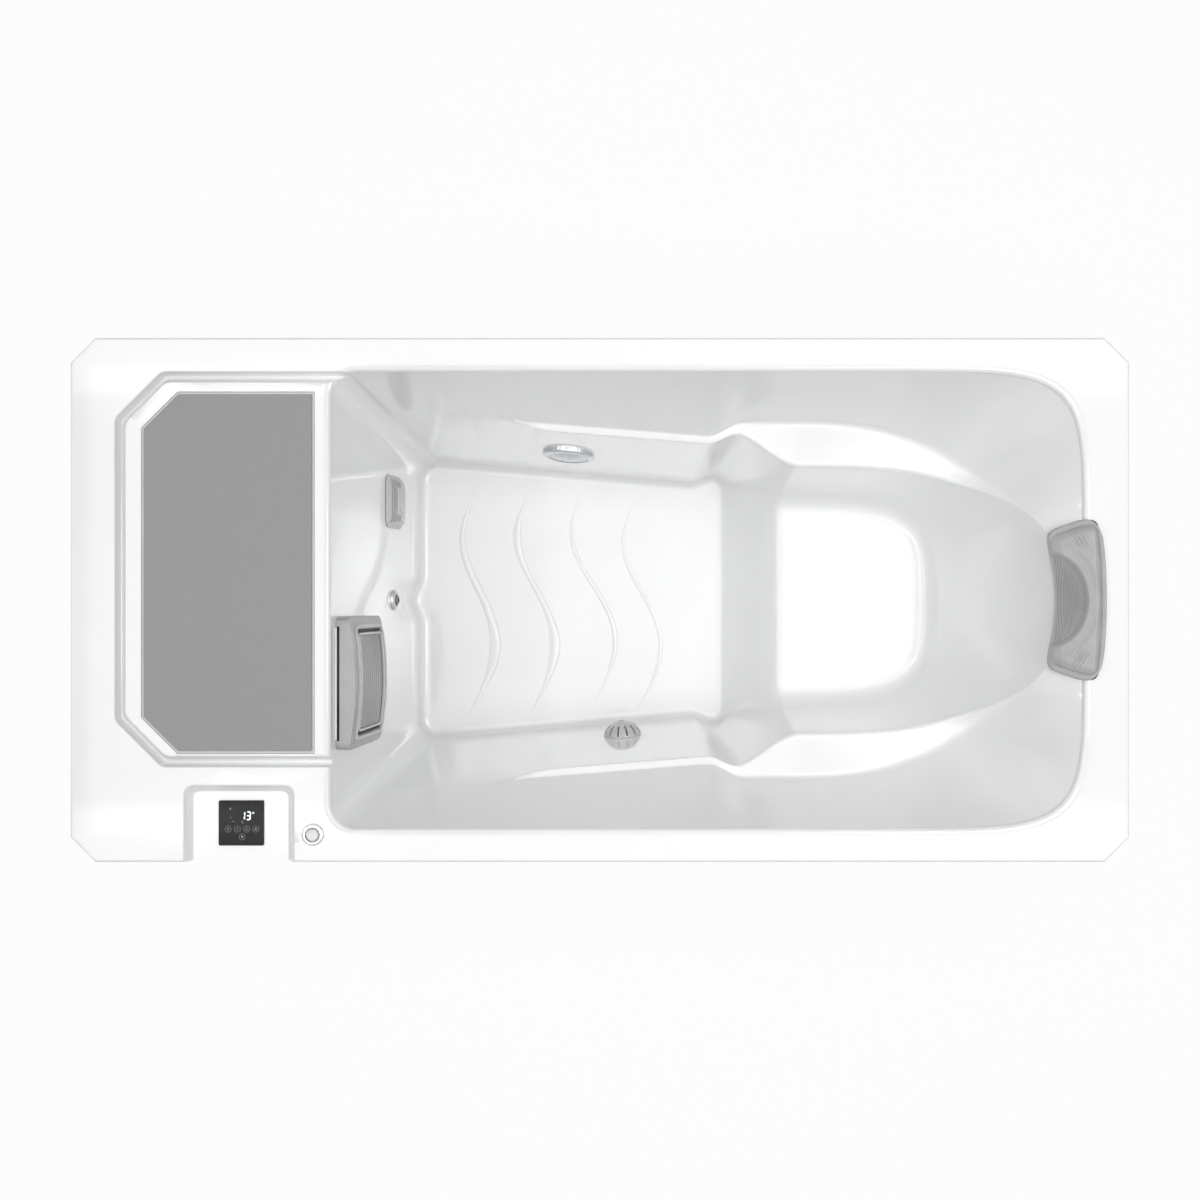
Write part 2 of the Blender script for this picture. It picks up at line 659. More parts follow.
def moulded(name, dark, light, roughness=0.3, grain=260, depth=0.05, coat=0.0):
    """A moulded plastic: faint cloudiness, a fine grain and a slightly uneven gloss."""
    material = shader(name, light, roughness)
    tint(material, noise(material, 9, 3.0), dark, light)
    polish(material, noise(material, 14, 2.0), roughness * 0.85, roughness * 1.2)
    bump(material, noise(material, grain, 1.0), depth, 0.5)
    material.node_tree.nodes["Principled BSDF"].inputs["Coat Weight"].default_value = coat
    return material


skimmer_white = moulded("skimmer_white", (0.43, 0.43, 0.42), (0.47, 0.47, 0.46), 0.32)
bezel_white = moulded("bezel_white", (0.60, 0.60, 0.59), (0.66, 0.66, 0.65), 0.3)
skimmer_front = refined("skimmer_frame", "skimmer_front", 1.6)
finish(skimmer_front, skimmer_white, node="skimmer_frame")


def bow(u):
    """How far the skimmer's face stands off the wall at a place across it."""
    half, side, crown = 136, 28, 14
    r = (half ** 2 + crown ** 2) / (2 * crown)
    return side + crown - r + math.sqrt(r ** 2 - u * u)


def rounded_box(x0, x1, y0, y1, r, steps=8):
    """The outline of a rectangle with rounded corners."""
    out = []
    for cx, cy, turn in ((x1 - r, y1 - r, 0), (x0 + r, y1 - r, 90), (x0 + r, y0 + r, 180),
                         (x1 - r, y0 + r, 270)):
        out += [(cx + r * math.cos(math.radians(turn + 90 * i / steps)),
                 cy + r * math.sin(math.radians(turn + 90 * i / steps))) for i in range(steps + 1)]
    return out


def band(name, loops):
    """A closed ring whose section passes through closed loops of points, in millimetres."""
    shape = bmesh.new()
    made = [[shape.verts.new(Vector(v) / 1000) for v in loop] for loop in loops]
    n = len(made[0])
    for a, b in zip(made, made[1:] + made[:1]):
        for i in range(n):
            shape.faces.new((a[i], a[(i + 1) % n], b[(i + 1) % n], b[i]))
    bmesh.ops.recalc_face_normals(shape, faces=shape.faces)
    return place_mesh(name, shape)


def face_ring(name, grow_and_height, x0, x1, half, r):
    """A closed band that follows the skimmer's bowed face, through pairs of (grow, height over it)."""
    base = rounded_box(x0, x1, -half, half, r)
    parts = [max(1, int(math.dist(p, q) / 8)) for p, q in zip(base, base[1:] + base[:1])]
    loops = []
    for grow, over in grow_and_height:
        outline = rounded_box(x0 - grow, x1 + grow, -half - grow, half + grow, r + grow)
        points = []
        for (ax, ay), (bx, by), n in zip(outline, outline[1:] + outline[:1], parts):
            points += [(mix(ax, bx, i / n), mix(ay, by, i / n)) for i in range(n)]
        loops.append([(x, y, bow(y) + over) for x, y in points])
    obj = band(name, loops)
    obj.data.transform(SKIMMER)
    return obj


raised = [(0, -1.5), (0, 2.2), (0.9, 3.4), (2.4, 3.9), (4.8, 3.9), (6.3, 3.4), (7.4, 2.2), (7.4, -1.5)]
finish(face_ring("skimmer_bezel", raised, -76, 92, 112, 12), bezel_white)
inner_raised = [(0, -1.5), (0, 1.6), (0.9, 2.6), (4.6, 2.6), (5.4, 1.6), (5.4, -1.5)]
finish(face_ring("skimmer_step", inner_raised, -64, 80, 97, 8), bezel_white)


def strip(name, x0, x1, y0, y1, z0, z1, place, edge=0.3):
    """A straight strip with its edges eased."""
    bpy.ops.object.select_all(action="DESELECT")
    bpy.ops.mesh.primitive_cube_add(size=1)
    obj = bpy.context.object
    obj.name = name
    obj.data.transform(Matrix.Translation(Vector((x0 + x1, y0 + y1, z0 + z1)) / 2000)
                       @ Matrix.Diagonal(((x1 - x0) / 1000, (y1 - y0) / 1000, (z1 - z0) / 1000, 1)))
    bpy.ops.object.mode_set(mode="EDIT")
    bpy.ops.mesh.select_all(action="SELECT")
    bpy.ops.mesh.bevel(offset=edge / 1000, segments=2, affect="EDGES")
    bpy.ops.object.mode_set(mode="OBJECT")
    obj.data.transform(place)
    return obj


# Behind the frame lies a black rubber seal, which shows as a line along the top, and the wall's edge
# is trimmed there with a thin white lip.
seal_black = moulded("seal_black", (0.006, 0.006, 0.006), (0.010, 0.010, 0.010), 0.75, 700, 0.05)
seal = strip("skimmer_seal", -109.0, -107.2, -116, 116, 3.9, 8.6, SKIMMER)
finish(seal, seal_black)
cover_strip = strip("skimmer_cover", -107.7, -105.0, -117, 117, 8.3, 17.0, SKIMMER)
finish(cover_strip, skimmer_white)
lip_strip = strip("skimmer_lip", -110.2, -107.2, -114, 114, 0.4, 3.9, SKIMMER, 0.6)
finish(lip_strip, acrylic)

# The grille is a moulding of fine bars that follow the bow from side to side, with a narrow gap at each
# end. Behind it sits the grey mesh of the leaf basket. The flap further in is a light blade on a steel
# pin, which floats up and closes when the pump stops.
grille_white = moulded("grille_white", (0.36, 0.36, 0.355), (0.41, 0.41, 0.405), 0.35)
bars = bmesh.new()
for k in range(10):
    x = -61 + 13.9 * k
    section_of_bar = [(x, -6.0), (x, -2.2), (x + 1.6, -1.0), (x + 8.4, -0.6), (x + 10.2, -2.2),
                      (x + 10.2, -6.0)]
    made = []
    for i in range(25):
        y = mix(-96, 96, i / 24)
        made.append([bars.verts.new((bx / 1000, y / 1000, (bow(y) + bz) / 1000))
                     for bx, bz in section_of_bar])
    for one, two in zip(made, made[1:]):
        for i in range(6):
            bars.faces.new((one[i], one[(i + 1) % 6], two[(i + 1) % 6], two[i]))
    bars.faces.new(made[0])
    bars.faces.new(made[-1])
bmesh.ops.recalc_face_normals(bars, faces=bars.faces)
skimmer_bars = place_mesh("skimmer_bars", bars)
skimmer_bars.data.transform(SKIMMER)
finish(skimmer_bars, grille_white, node="skimmer_grille")
gap_dark = moulded("gap_dark", (0.05, 0.05, 0.05), (0.08, 0.08, 0.08), 0.7)
mesh_grey = moulded("mesh_grey", (0.24, 0.24, 0.235), (0.29, 0.29, 0.285), 0.6)
pitch = 7.2
for k in range(29):
    y = (k - 14) * pitch
    z = bow(y) - 6.0
    mesh = strip("basket_mesh", -61, 76, y - pitch / 2, y + pitch / 2, z - 1.6, z, SKIMMER)
    finish(mesh, mesh_grey)
for side in (-1, 1):
    y, z = 107.0 * side, bow(107)
    gap = strip("grille_gap", -62, 78, y - 2.4, y + 2.4, z - 1.0, z + 1.6, SKIMMER)
    finish(gap, gap_dark)
flap_white = moulded("flap_white", (0.80, 0.80, 0.79), (0.85, 0.85, 0.84), 0.3)
finish(refined("weir_flap", "weir_blade", 0.6, 2), flap_white, body="weir", node="weir_flap")

# The suction cover is a pale domed square moulding, pressed over its threaded body. Its upper slope and
# the upper half of its sides have rows of small holes, with a dark strainer behind them.
def square_loft(name, rings):
    """A solid through rounded squares, given as (width, corner radius, height)."""
    loops = []
    for w, r, z in rings:
        outline = rounded_box(-w / 2, w / 2, -w / 2, w / 2, r, 6)
        points = []
        for k, (p, q) in enumerate(zip(outline, outline[1:] + outline[:1])):
            n = 12 if k % 7 == 6 else 1
            points += [(mix(p[0], q[0], i / n), mix(p[1], q[1], i / n), z) for i in range(n)]
        loops.append(points)
    return loft(name, loops)


cover_white = moulded("cover_white", (0.56, 0.56, 0.55), (0.62, 0.62, 0.61), 0.3)
face_of_cover = [(121, 19, 0.1), (124, 20, 1.2), (124, 20, 3.6), (122, 19, 4.6), (118, 18, 5.0), (115, 18, 6.0),
                 (111, 17.5, 8.4), (107, 17, 10.6), (102, 16, 12.8), (96, 15.5, 14.8), (89, 15, 16.5),
                 (81, 14, 17.9), (72, 13, 19.0), (62, 12, 19.7), (50, 12, 20.0), (30, 10, 20.0), (10, 4, 20.0)]
suction_face = square_loft("suction_face", face_of_cover)
hollow_of_cover = [(112, 16, -1), (112, 16, 5.6), (108.2, 16, 7.9), (104.4, 15.5, 9.9), (99.8, 15, 11.9),
                   (94.2, 14.5, 13.7), (87.6, 14, 15.3), (80, 13, 16.6), (71.4, 12, 17.65), (61.6, 11, 18.3),
                   (50, 11, 18.6), (30, 9, 18.6)]
combine(suction_face, square_loft("hollow", hollow_of_cover), "DIFFERENCE")
holes = bmesh.new()
hole_r = 2.2
rows_of_holes = [(-50.0 + 5.6 * i, 6.0 * j + 3.0 * (i % 2)) for i in range(4) for j in range(-8, 8 + (i + 1) % 2)]
rows_of_holes += [(-50.0 + 5.6 * i, side * (33.0 + 6.0 * j + 3.0 * (i % 2)))
                  for i in range(4, 10) for j in range(3 - i % 2) for side in (-1, 1)]
slope_of_cover = [(-57.5, 6.0), (-55.5, 8.4), (-53.5, 10.6), (-51.0, 12.8), (-48.0, 14.8), (-44.5, 16.5),
                  (-40.5, 17.9), (-36.0, 19.0), (-31.0, 19.7), (-25.0, 20.0), (60.0, 20.0)]
for hx, hy in rows_of_holes:
    hz = next(mix(za, zb, (hx - xa) / (xb - xa))
              for (xa, za), (xb, zb) in zip(slope_of_cover, slope_of_cover[1:]) if hx <= xb)
    lean = -0.95 if hx < -40 else -0.7
    low, high = ([holes.verts.new(((hx + lean * z + hole_r * math.cos(a)) / 1000,
                                   (hy + hole_r * math.sin(a)) / 1000, (hz + z) / 1000))
                  for a in (math.pi * k / 4 for k in range(8))] for z in (-6.0, 8.0))
    holes.faces.new(low[::-1])
    holes.faces.new(high)
    for k in range(8):
        holes.faces.new((low[k], low[(k + 1) % 8], high[(k + 1) % 8], high[k]))
combine(suction_face, place_mesh("holes", holes), "DIFFERENCE")
suction_face.data.transform(SUCTION)
finish(suction_face, cover_white, node="suction_cover", angle=40)
strainer_dark = moulded("strainer_dark", (0.05, 0.05, 0.05), (0.08, 0.08, 0.08), 0.8)
strainer = square_loft("strainer", [(w - 0.8, r, max(1.0, z - 0.4)) for w, r, z in hollow_of_cover])
strainer.data.transform(SUCTION)
finish(strainer, strainer_dark)


def turned(name, outline, place, steps=96, closed=True):
    """A turned piece: its outline, in millimetres from the axis, is spun round once."""
    data = bpy.data.meshes.new(name)
    n = len(outline)
    sides = [(i, (i + 1) % n) for i in range(n if closed else n - 1)]
    data.from_pydata([(r / 1000, 0, z / 1000) for r, z in outline], sides, [])
    obj = bpy.data.objects.new(name, data)
    scene.collection.objects.link(obj)
    only(obj)
    bpy.ops.object.mode_set(mode="EDIT")
    bpy.ops.mesh.select_all(action="SELECT")
    bpy.ops.mesh.spin(steps=steps, angle=2 * math.pi, center=(0, 0, 0), axis=(0, 0, 1))
    bpy.ops.mesh.select_all(action="SELECT")
    bpy.ops.mesh.remove_doubles(threshold=0.000001)
    bpy.ops.mesh.normals_make_consistent(inside=False)
    bpy.ops.object.mode_set(mode="OBJECT")
    data.transform(place)
    return obj


def bowl(r0, z0, r1, z1, steps=6, out=True):
    """A quarter round between two points of an outline."""
    points = []
    for i in range(1, steps):
        a = math.pi / 2 * i / steps
        k = (math.sin(a), 1 - math.cos(a)) if out else (1 - math.cos(a), math.sin(a))
        points.append((mix(r0, r1, k[0]), mix(z0, z1, k[1])))
    return points


# The return nozzle is a polished steel ring round a dark plastic eyeball that turns to aim the jet. Both
# sit on a threaded body that goes through the wall.
chrome = shader("chrome", (0.62, 0.63, 0.64), 0.08, 1.0)
tint(chrome, noise(chrome, 60, 2.0), (0.57, 0.58, 0.59), (0.66, 0.67, 0.68))
polish(chrome, noise(chrome, 120, 2.0), 0.06, 0.13)
bump(chrome, noise(chrome, 900, 1.0), 0.01, 0.3)
nozzle_outline = [(15, 0.3), (24, 0.3), (24, 2.4), *bowl(24, 2.4, 19, 7.6, 6, False), (19, 7.6), (17.6, 9.3),
                  (15.4, 9.3), (14.4, 8.4), (14.2, 5.6), (14.6, 3.4)]
finish(turned("nozzle_rim", nozzle_outline, NOZZLE), chrome, node="nozzle_ring")

# The underwater light has a frosted lens with fine round steps, unlit, in a polished steel ring. Behind
# them a grey housing goes through the wall.
lens = shader("light_lens", (0.80, 0.83, 0.85), 0.06)
lens.node_tree.nodes["Principled BSDF"].inputs["Coat Weight"].default_value = 0.6
tint(lens, noise(lens, 30, 2.0), (0.62, 0.65, 0.67), (0.74, 0.77, 0.79))
polish(lens, noise(lens, 60, 2.0), 0.05, 0.11)
lens_outline = [(0, 17.0), (3.2, 16.9)]
for k in range(8):
    r = 4 + 5 * k
    lens_outline += [(r, 16.2 - 0.16 * r), (r + 1.6, 15.2 - 0.16 * r), (r + 3.4, 15.3 - 0.16 * r)]
lens_outline += [(44.6, 9.4), (45.4, 8.4), (45.4, 7.5), (0, 7.5)]
finish(turned("light_glass", lens_outline, LIGHT, closed=False), lens, node="light_lens")
ring_outline = [(44.2, -0.8), (61.4, -0.8), (62, 0), (62, 2.4), *bowl(62, 2.4, 56, 9.6, 8, False), (56, 9.6),
                (52, 10.8), (47.2, 10.9), (46.1, 10.0), (46, 7.2), (44.2, 7.2)]
finish(turned("light_rim", ring_outline, LIGHT, 128), chrome, node="light_ring")

# The second suction fitting has a domed cover with slots, moulded in grey plastic. One steel screw
# through its top holds it to its body behind the wall.
dome_grey = moulded("dome_grey", (0.50, 0.50, 0.50), (0.57, 0.57, 0.56), 0.28, coat=0.2)
finish(refined("dome_cover", "dome_cap", 0.7, 2), dome_grey, node="dome_cover")

# The control panel is a black glass square set in the recess. Its display glows through the glass:
# the water's temperature, small status marks and five touch keys.
glass_black = shader("panel_glass", (0.012, 0.012, 0.013), 0.05)
glass_black.node_tree.nodes["Principled BSDF"].inputs["Specular IOR Level"].default_value = 0.12
tint(glass_black, noise(glass_black, 40, 2.0), (0.010, 0.010, 0.011), (0.016, 0.016, 0.017))
polish(glass_black, noise(glass_black, 90, 2.0), 0.04, 0.08)


def slab(name, sx, sy, z0, z1, corner, edge, place):
    """A plate with rounded corners, its upper edge bevelled."""
    bpy.ops.object.select_all(action="DESELECT")
    bpy.ops.mesh.primitive_plane_add(size=1)
    obj = bpy.context.object
    obj.name = name
    obj.data.transform(Matrix.Diagonal((sx / 1000, sy / 1000, 1, 1)))
    bpy.ops.object.mode_set(mode="EDIT")
    bpy.ops.mesh.select_all(action="SELECT")
    bpy.ops.mesh.bevel(offset=corner / 1000, segments=6, affect="VERTICES")
    bpy.ops.mesh.select_all(action="SELECT")
    bpy.ops.mesh.extrude_region_move(TRANSFORM_OT_translate={"value": (0, 0, (z1 - z0) / 1000)})
    shape = bmesh.from_edit_mesh(obj.data)
    bpy.ops.mesh.select_mode(type="EDGE")
    for e in shape.edges:
        e.select_set(all(abs(v.co.z - (z1 - z0) / 1000) < 1e-6 for v in e.verts))
    bmesh.update_edit_mesh(obj.data)
    bpy.ops.mesh.bevel(offset=edge / 1000, segments=3, affect="EDGES")
    bpy.ops.mesh.select_all(action="SELECT")
    bpy.ops.mesh.normals_make_consistent(inside=False)
    bpy.ops.object.mode_set(mode="OBJECT")
    obj.data.transform(place @ Matrix.Translation((0, 0, z0 / 1000)))
    return obj


control_face = slab("control_face", 91, 91, 0.05, 4, 3, 0.8, GLASS)
finish(control_face, glass_black, node="control_glass")

def lit_mark(name, colour, roughness, glow, strength, dark, light):
    """The material of marks that glow through the glass."""
    material = shader(name, colour, roughness)
    surface = material.node_tree.nodes["Principled BSDF"]
    surface.inputs["Emission Color"].default_value = (*glow, 1)
    surface.inputs["Emission Strength"].default_value = strength
    tint(material, noise(material, 300, 1.0), dark, light)
    return material


display_white = lit_mark("display_white", (0.8, 0.85, 0.88), 0.4, (0.85, 0.93, 1.0), 0.75,
                         (0.72, 0.78, 0.82), (0.85, 0.90, 0.93))
marks = bmesh.new()
MARK_Z, MARK_THICK = 4.01, 0.06


def mark(points):
    """A thin mark just over the glass."""
    low = [marks.verts.new(Vector((x, y, MARK_Z)) / 1000) for x, y in points]
    high = [marks.verts.new(Vector((x, y, MARK_Z + MARK_THICK)) / 1000) for x, y in points]
    marks.faces.new(low[::-1])
    marks.faces.new(high)
    for i in range(len(points)):
        j = (i + 1) % len(points)
        marks.faces.new((low[i], low[j], high[j], high[i]))


def bar(ax, ay, bx, by, w):
    """A bar with pointed ends, as in a seven-bar digit."""
    run = Vector((bx - ax, by - ay)).normalized()
    side = Vector((-run.y, run.x)) * w / 2
    a, b = Vector((ax, ay)), Vector((bx, by))
    from_a, from_b = a + run * w / 2, b - run * w / 2
    mark([(p.x, p.y) for p in (a, from_a - side, from_b - side, b, from_b + side, from_a + side)])


def digit(x, y, w, h, bars):
    k = 0.07 * h
    spots = {"a": (0, 2, 1, 2), "b": (1, 1, 1, 2), "c": (1, 0, 1, 1), "d": (0, 0, 1, 0), "e": (0, 0, 0, 1),
             "f": (0, 1, 0, 2), "g": (0, 1, 1, 1)}
    for name in bars:
        ax, ay, bx, by = spots[name]
        bar(x + ax * w + k * ay / 2, y + ay * h / 2, x + bx * w + k * by / 2, y + by * h / 2, 2.7)


def hoop(x, y, r, w, start=0, end=360):
    """A ring or part of one, as short bars of light."""
    n = max(6, int(abs(end - start) / 15))
    for i in range(n):
        a, b = (math.radians(mix(start, end, k / n)) for k in (i, i + 1))
        mark([(x + far * math.cos(turn), y + far * math.sin(turn))
              for far, turn in ((r, a), (r + w, a), (r + w, b), (r, b))])


digit(-0.5, 7.0, 7.0, 15.5, "bc")
digit(11.0, 7.0, 7.0, 15.5, "abcdg")
hoop(24.6, 20.6, 1.0, 1.0)
display = place_mesh("display", marks)
display.data.transform(GLASS)
finish(display, display_white)

key_grey = lit_mark("key_grey", (0.30, 0.31, 0.32), 0.45, (0.85, 0.9, 0.95), 0.06,
                    (0.20, 0.21, 0.22), (0.30, 0.31, 0.32))
marks = bmesh.new()
mark([(-21.6, 32), (-23.4, 27.6), (-21.6, 26), (-19.8, 27.6)])
mark([(-21.6, 12.0), (-20.0, 12.0), (-20.0, 10.4), (-21.6, 10.4)])
hoop(-15.5, 1.4, 2.4, 0.7, 20, 160)
for turn in range(3):
    hoop(2.6, 2.0, 1.0, 1.6, 120 * turn, 120 * turn + 55)
for x, y in [(-26.0, -12.1), (-7.7, -12.1), (11.3, -12.1), (29.9, -12.1), (2.2, -27.6)]:
    hoop(x, y, 5.9, 0.55)
for x, y in [(-26.0, -12.1), (11.3, -12.1)]:
    hoop(x, y, 1.4, 0.6)
    for turn in range(4):
        c, s = math.cos(math.pi / 2 * turn), math.sin(math.pi / 2 * turn)
        bar(x + 2.4 * c, y + 2.4 * s, x + 4.2 * c, y + 4.2 * s, 0.6)
bar(-7.7, -9.2, -7.7, -15.0, 0.7)
bar(-10.6, -12.1, -4.8, -12.1, 0.7)
mark([(29.9, -9.0), (27.2, -14.0), (32.6, -14.0)])
mark([(2.2, -24.4), (-0.8, -27.4), (0.9, -27.4), (0.9, -30.4), (3.5, -30.4), (3.5, -27.4), (5.2, -27.4)])
touch_keys = place_mesh("touch_keys", marks)
touch_keys.data.transform(GLASS)
finish(touch_keys, key_grey)

# The air button is a polished steel ring round a white plastic cap, over a body that goes down through
# the rim. The cap is pressed 3 mm to switch the air on.
rim_outline = [(12.0, 0.05), (21.4, 0.05), (22, 0.6), (22, 1.6), *bowl(22, 1.6, 18.6, 5.6, 7, False), (18.6, 5.6),
               (17.4, 6.4), (15.9, 6.4), (15.0, 5.8), (14.4, 4.2), (13.6, 1.2), (12.0, 0.8)]
finish(turned("button_rim", rim_outline, BUTTON), chrome, node="button_ring")
cap_white = moulded("cap_white", (0.82, 0.82, 0.82), (0.88, 0.88, 0.88), 0.2, coat=0.3)
cap_outline = [(0, 8.2), (5, 8.3), (8.6, 8.9), *bowl(8.6, 8.9, 11.75, 5.8, 7), (11.75, 5.8), (11.75, -4), (0, -4)]
button_top = turned("button_top", cap_outline, BUTTON, closed=False)
finish(button_top, cap_white, body="air_button", node="button_cap")

# The lid of the equipment bay is a flat moulding with ribs below. A grey anti-slip mat is stuck on it
# and leaves a pale band of the lid showing all round.
def cells(material, scale):
    """A pattern of small cells in the tub's own coordinates."""
    tree = material.node_tree
    texture = tree.nodes.new("ShaderNodeTexVoronoi")
    texture.inputs["Scale"].default_value = scale
    place = tree.nodes.new("ShaderNodeTexCoord")
    tree.links.new(place.outputs["Object"], texture.inputs["Vector"])
    return texture.outputs["Distance"]


lid_white = moulded("lid_white", (0.66, 0.66, 0.66), (0.72, 0.72, 0.72), 0.3)
finish(refined("hatch_lid", "bay_lid", 1.2, 2), lid_white, body="hatch", node="hatch_lid")
edge_grey = moulded("edge_grey", (0.60, 0.60, 0.60), (0.66, 0.66, 0.66), 0.5)
edge_rings = [(-0.4, 790.4), (0.6, 790.4), (0.6, 798.2), (0.2, 798.8), (-0.4, 798.8)]
lid_edge = band("lid_edge", [lid_ring(grow, z) for grow, z in edge_rings])
finish(lid_edge, edge_grey, body="hatch")
mat_grey = shader("mat_grey", (0.37, 0.37, 0.37), 0.85)
tint(mat_grey, noise(mat_grey, 900, 2.0), (0.350, 0.350, 0.350), (0.385, 0.385, 0.385))
polish(mat_grey, noise(mat_grey, 300, 2.0), 0.78, 0.92)
bump(mat_grey, cells(mat_grey, 420), 0.4, 0.5)
finish(refined("hatch_pad", "anti_slip_mat", 1.6, 3), mat_grey, body="hatch", node="hatch_pad")

# The head pillow is a cushion of grey foam moulded in one piece with its soft skin. It hangs over the rim
# on two pins, with a rolled border round its back and sides, a ribbed hollow for the neck, and creases
# where the hollow's ridge meets the corners.
def under_z(x):
    return 801.5 - 0.51 * max(0, HEAD + 12 - x)


def pillow_place(u, v):
    """A point of the pillow's plan: u runs from its front (-1) to its back (1), v across it."""
    round_u, round_v = u * (1 - 0.12 * v ** 8), v * (1 - 0.085 * u ** 10)
    back = 1009 - 9 * v * v
    front = 918 - 18 * v * v
    a = (1 + round_u) / 2
    half = 141 + 20 * smooth(a / 0.7) - 4 * smooth((a - 0.7) / 0.3)
    return mix(front, back, a), round_v * half


def pillow_top(u, v, x, y):
    """How far the skin stands over the seam there."""
    to_back, to_side, to_front = (1 - u) * 45, (1 - abs(v)) * 156, (1 + u) * 45
    edge = min(to_back, to_side)
    if to_back < 24 and to_side < 24:
        edge = max(0, 24 - math.hypot(24 - to_back, 24 - to_side))
    fade = smooth((to_front - 2) / 14)
    roll = math.sqrt(max(0, 1 - (1 - min(edge, 8) / 8) ** 2))
    roll *= math.sqrt(max(0, 1 - (1 - min(to_front, 7) / 7) ** 2))
    over = 9 + 9 * smooth((edge - 12) / 15) * (0.45 + 0.55 * fade)
    over -= 4.2 * math.exp(-((edge - 12.5) / 1.8) ** 2) * (0.3 + 0.7 * fade)
    over -= 1.3 * math.exp(-((edge - 6.0) / 1.2) ** 2) * fade
    bend = math.hypot((x - 903) / 67, y / 97)
    dish = 1 - smooth((bend - 0.90) / 0.11)
    over -= 11.5 * dish
    over += 2.4 * math.exp(-((bend - 1.28) / 0.08) ** 2) * fade
    ribbed = (1 - smooth((bend - 0.87) / 0.06)) * smooth((to_front - 1) / 4)
    over += 1.15 * math.cos(2 * math.pi * (x - 0.0006 * y * y) / 3.9) * ribbed
    along = (x - 952) * 0.467 + (abs(y) - 116) * -0.884
    across = (x - 952) * 0.884 + (abs(y) - 116) * 0.467
    creases = 0.5 - 0.5 * math.cos(2 * math.pi * across / 6.4)
    over -= 3.6 * creases * math.exp(-(along / 19) ** 2) * math.exp(-((across - 2) / 12) ** 4)
    return over * roll, roll, max(0.0, dish * smooth(to_front / 3))


grid = bmesh.new()
hollow = grid.verts.layers.float.new("hollow")
NU, NV = 150, 230
upper, lower = [], []
for i in range(NU + 1):
    upper.append([])
    lower.append([])
    for j in range(NV + 1):
        u, v = (mix(math.sin(math.pi / 2 * t), t, 0.35) for t in (2 * i / NU - 1, 2 * j / NV - 1))
        x, y = pillow_place(u, v)
        over, roll, dish = pillow_top(u, v, x, y)
        seam = under_z(x) + 7
        upper[i].append(grid.verts.new(Vector((x, y, seam + over)) / 1000))
        upper[i][j][hollow] = dish
        under = Vector((x, y, seam - 7 * min(1, roll * 1.02))) / 1000
        on_edge = i in (0, NU) or j in (0, NV)
        lower[i].append(upper[i][j] if on_edge else grid.verts.new(under))
for i in range(NU):
    for j in range(NV):
        grid.faces.new((upper[i][j], upper[i + 1][j], upper[i + 1][j + 1], upper[i][j + 1]))
        grid.faces.new((lower[i][j], lower[i][j + 1], lower[i + 1][j + 1], lower[i + 1][j]))
bmesh.ops.recalc_face_normals(grid, faces=grid.faces)
pillow = place_mesh("head_pillow", grid)
foam_skin = shader("pillow_skin", (0.44, 0.44, 0.445), 0.5)
tint(foam_skin, noise(foam_skin, 26, 3.0), (0.460, 0.460, 0.465), (0.500, 0.500, 0.506))
shade_by(foam_skin, "hollow", 0.78)
polish(foam_skin, noise(foam_skin, 40, 2.0), 0.42, 0.56)
bump(foam_skin, noise(foam_skin, 900, 2.0), 0.12, 0.6)
finish(pillow, foam_skin, node="pillow", angle=70)

# The cabinet is four textured light-grey panels screwed to the frame under the rim, between anodised
# corner posts. Their edges are eased, and the foot end's panel is cut out for the vent and the service box.
def dress(material, *nodes):
    """Gives CAD pieces that keep their shape a finished material."""
    for node in nodes:
        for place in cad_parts[node].material_slots:
            place.material = material


panel_grey = moulded("panel_grey", (0.63, 0.635, 0.64), (0.65, 0.655, 0.66), 0.45, 1100, 0.12)
bump(panel_grey, noise(panel_grey, 5, 2.0), 0.5, 0.15)
for name, node in [("side_panel_front", "front_panel"), ("side_panel_back", "back_panel"),
                   ("end_panel_head", "head_panel"), ("end_panel_foot", "foot_panel")]:
    finish(refined(node, name, 1.5, 2), panel_grey, node=node)


def metal(name, dark, light, roughness, stretch=(1, 1, 1), scale=40, depth=0.02):
    """A metal whose brushing or rolling runs along one way."""
    material = shader(name, light, roughness, 1.0)
    tint(material, noise(material, 7, 3.0), dark, light)
    polish(material, noise(material, scale, 3.0, stretch), roughness * 0.8, roughness * 1.3)
    bump(material, noise(material, scale * 3, 2.0, stretch), depth, 0.4)
    return material


anodised = metal("anodised", (0.56, 0.56, 0.57), (0.64, 0.64, 0.65), 0.34, (8, 8, 0.15), 60)
finish(refined("corner_posts", "corner_trims", 1.5, 3), anodised, node="corner_posts")

# The panels are held by stainless screws with domed heads. The same steel makes the weir's pin and the
# screw in the dome.
stainless = metal("stainless", (0.55, 0.55, 0.56), (0.66, 0.66, 0.67), 0.22, (1, 1, 1), 300, 0.01)
dress(stainless, "weir_pin", "dome_screw", "panel_screws")

# The frame is welded square tube, powder-coated dark grey, on adjustable rubber-soled feet. The coat has
# a fine orange peel.
powder_coat = shader("powder_coat", (0.17, 0.175, 0.18), 0.42)
tint(powder_coat, noise(powder_coat, 8, 3.0), (0.145, 0.15, 0.155), (0.185, 0.19, 0.195))
polish(powder_coat, noise(powder_coat, 30, 2.0), 0.36, 0.5)
bump(powder_coat, noise(powder_coat, 420, 1.0), 0.12, 0.6)
dress(powder_coat, "lower_rails", "upper_rails", "frame_posts")
foot_black = moulded("foot_black", (0.025, 0.025, 0.027), (0.045, 0.045, 0.047), 0.5, 500, 0.1)
finish(refined("levelling_feet", "adjusting_feet", 0.8, 2), foot_black, node="levelling_feet")

